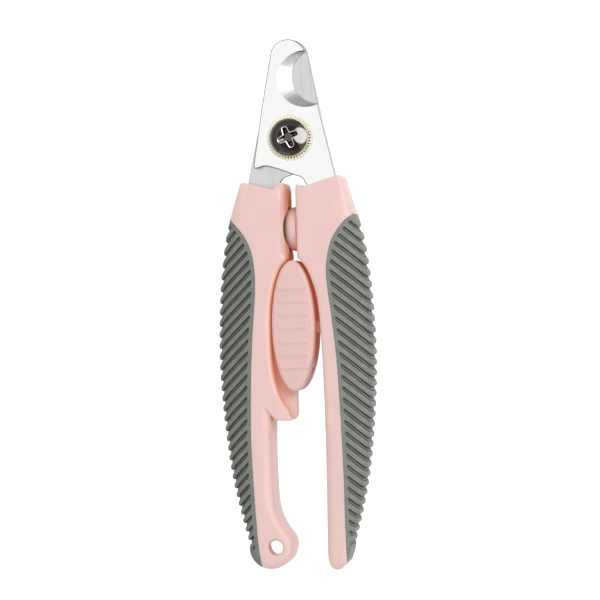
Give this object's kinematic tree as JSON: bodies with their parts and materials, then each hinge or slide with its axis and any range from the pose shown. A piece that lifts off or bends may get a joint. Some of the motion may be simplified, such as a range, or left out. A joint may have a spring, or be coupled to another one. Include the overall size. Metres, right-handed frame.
{
  "type": "scissor nail clipper",
  "caption": "Scissor-type pet nail clipper: two steel notch blades on a pivot screw, spring-opened plastic handles with ribbed rubber grips, and an oval sliding lock.",
  "frame": {"origin": "on the resting surface, under the middle of the clipper's bounding box, with the clipper closed, locked and lying on its back", "axes": "+X to the right-hand handle seen from the front, +Y towards the blade tips, +Z out of the front face"},
  "size_m": [0.0436, 0.148, 0.015],
  "materials": {
    "pink_plastic": "satin moulded polypropylene, pale pink",
    "slider_plastic": "satin moulded plastic, slightly darker pink",
    "grip_rubber": "matt grey-green thermoplastic rubber with slanting ribs",
    "polished_steel": "polished stainless steel with ground bevels",
    "chromed_screw": "mirror-bright plated pan head",
    "brass_washer": "yellow-passivated toothed washer",
    "spring_steel": "bright spring wire",
    "zinc_steel": "zinc-plated"
  },
  "bodies": {
    "left_half": {"left_handle_front": "pink_plastic", "left_handle_back": "pink_plastic", "left_grip": "grip_rubber", "rear_blade": "polished_steel", "pivot_screw": "chromed_screw", "toothed_washer": "brass_washer", "plain_washer": "zinc_steel", "pivot_nut": "zinc_steel", "return_spring": "spring_steel", "left_screw_upper": "zinc_steel", "left_screw_lower": "zinc_steel", "left_tang_pin": "zinc_steel"},
    "right_half": {"right_handle_front": "pink_plastic", "right_handle_back": "pink_plastic", "right_grip": "grip_rubber", "front_blade": "polished_steel", "spring_cup": "pink_plastic", "right_screw_upper": "zinc_steel", "right_screw_lower": "zinc_steel", "right_tang_pin": "zinc_steel"},
    "slider": {"lock_button_front": "slider_plastic", "lock_button_back": "slider_plastic", "lock_bolt": "slider_plastic", "lock_screw_upper": "zinc_steel", "lock_screw_lower": "zinc_steel"}
  },
  "joints": [
    {"name": "handle_pivot", "type": "hinge", "parent": "left_half", "child": "right_half", "pos_m": [-0.00035, 0.0465, 0.0075], "axis": [0, 0, 1], "range_deg": [0, 26], "stiffness_Nm_per_rad": 0.35, "springref_deg": 31.51, "deforming": ["return_spring"]},
    {"name": "lock_slide", "type": "slide", "parent": "left_half", "child": "slider", "axis": [0, -1, 0], "range_m": [0, 0.0055]}
  ]
}
